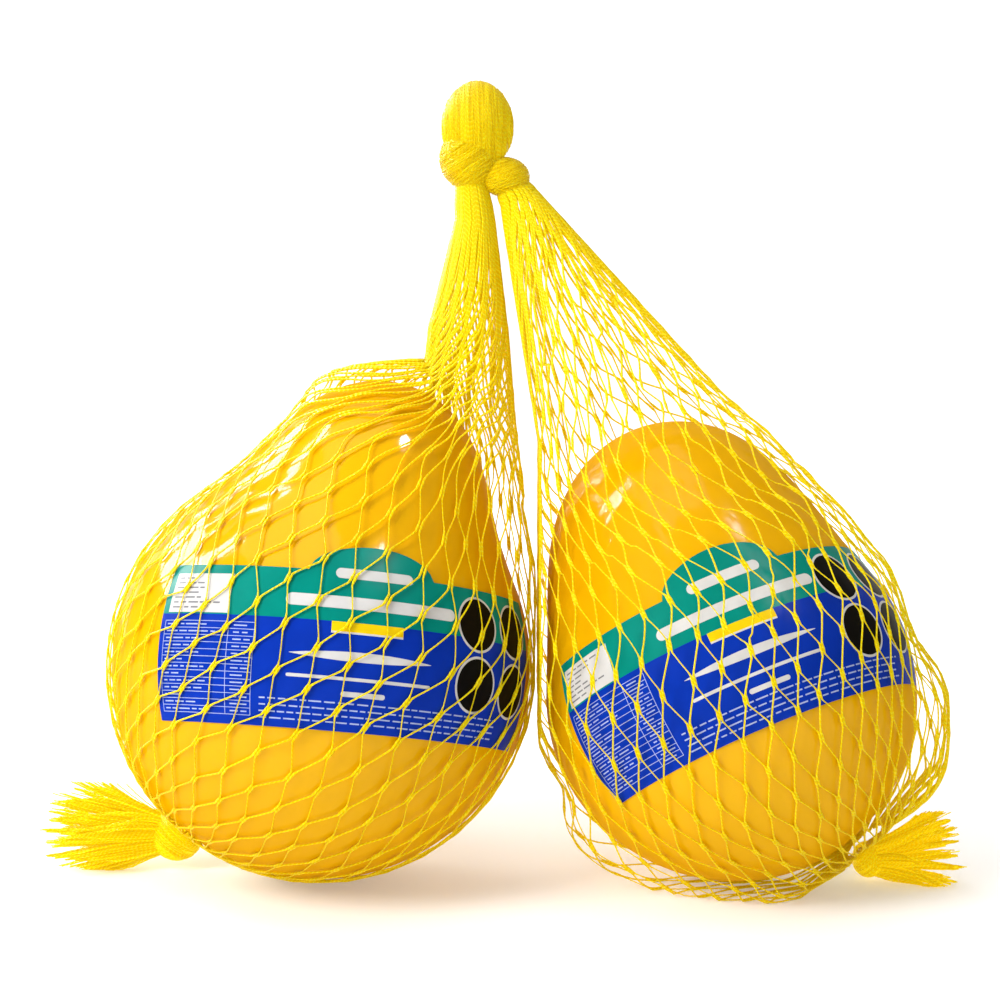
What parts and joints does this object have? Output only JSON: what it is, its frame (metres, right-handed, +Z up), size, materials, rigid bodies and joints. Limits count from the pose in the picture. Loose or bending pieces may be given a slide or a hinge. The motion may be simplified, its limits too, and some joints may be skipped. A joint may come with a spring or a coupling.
{
  "type": "caciocavallo cheese",
  "caption": "Tied pair of pear-shaped stretched-curd cheeses with film labels, hung in one knitted yellow net with a top knot and tassel ends.",
  "frame": {"origin": "middle of the bottom of the whole object's box, on the surface that the pair stands on", "axes": "+X from the larger cheese to the smaller one, +Y to the back, away from the labels, +Z up to the knot"},
  "size_m": [0.2762, 0.1292, 0.234],
  "materials": {
    "rind": "glossy coated rind",
    "label_film": "printed film",
    "net_yarn": "knitted yarn"
  },
  "bodies": {
    "root": {"cheese_left": "rind", "cheese_right": "rind", "label_left": "label_film", "label_right": "label_film", "net_left": "net_yarn", "net_right": "net_yarn", "top_knot": "net_yarn", "tassel_left": "net_yarn", "tassel_right": "net_yarn"}
  },
  "joints": []
}
